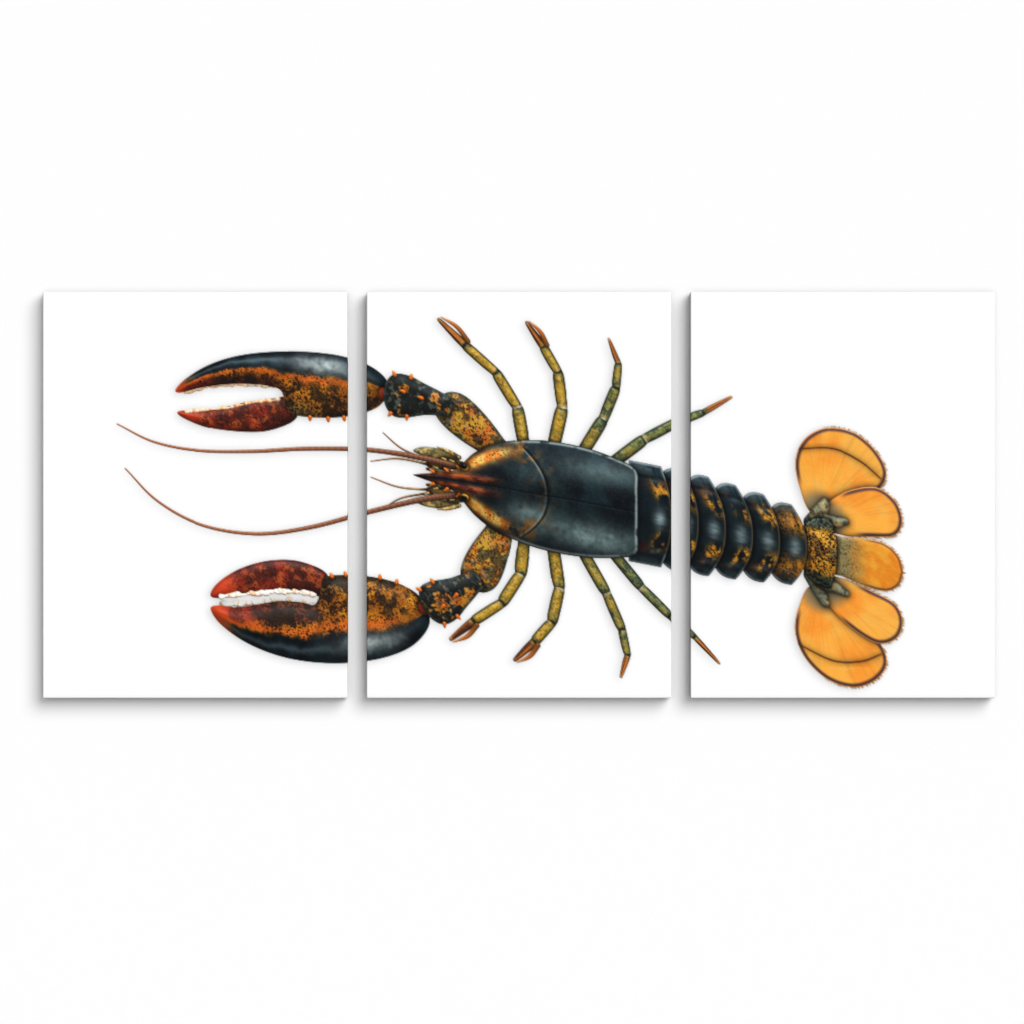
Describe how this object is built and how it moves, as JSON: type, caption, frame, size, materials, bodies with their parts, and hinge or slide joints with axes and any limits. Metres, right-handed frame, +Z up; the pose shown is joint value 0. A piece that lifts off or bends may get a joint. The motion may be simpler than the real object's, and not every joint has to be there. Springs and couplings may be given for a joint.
{
  "type": "three-panel canvas print of an american lobster",
  "caption": "Wall picture: a lobster seen from above, printed across stretched canvases hung side by side, with pine stretcher bars, sawtooth hangers and felt pads behind.",
  "frame": {"origin": "on the wall plane, behind the middle of the centre panel", "axes": "+X to the viewer's right along the row of panels, +Y into the wall, +Z up; the pictures face -Y"},
  "size_m": [0.9524, 0.0223, 0.4064],
  "materials": {
    "canvas": "matte white inkjet canvas with a printed lobster figure on the front",
    "pine": "planed, unpainted",
    "steel": "zinc plated",
    "felt": "dark grey felt"
  },
  "bodies": {
    "root": {"left_canvas": "canvas", "left_bar_top": "pine", "left_bar_bottom": "pine", "left_bar_left": "pine", "left_bar_right": "pine", "left_hanger": "steel", "left_nail_1": "steel", "left_nail_2": "steel", "left_pad_1": "felt", "left_pad_2": "felt", "centre_canvas": "canvas", "centre_bar_top": "pine", "centre_bar_bottom": "pine", "centre_bar_left": "pine", "centre_bar_right": "pine", "centre_hanger": "steel", "centre_nail_1": "steel", "centre_nail_2": "steel", "centre_pad_1": "felt", "centre_pad_2": "felt", "right_canvas": "canvas", "right_bar_top": "pine", "right_bar_bottom": "pine", "right_bar_left": "pine", "right_bar_right": "pine", "right_hanger": "steel", "right_nail_1": "steel", "right_nail_2": "steel", "right_pad_1": "felt", "right_pad_2": "felt"}
  },
  "joints": []
}
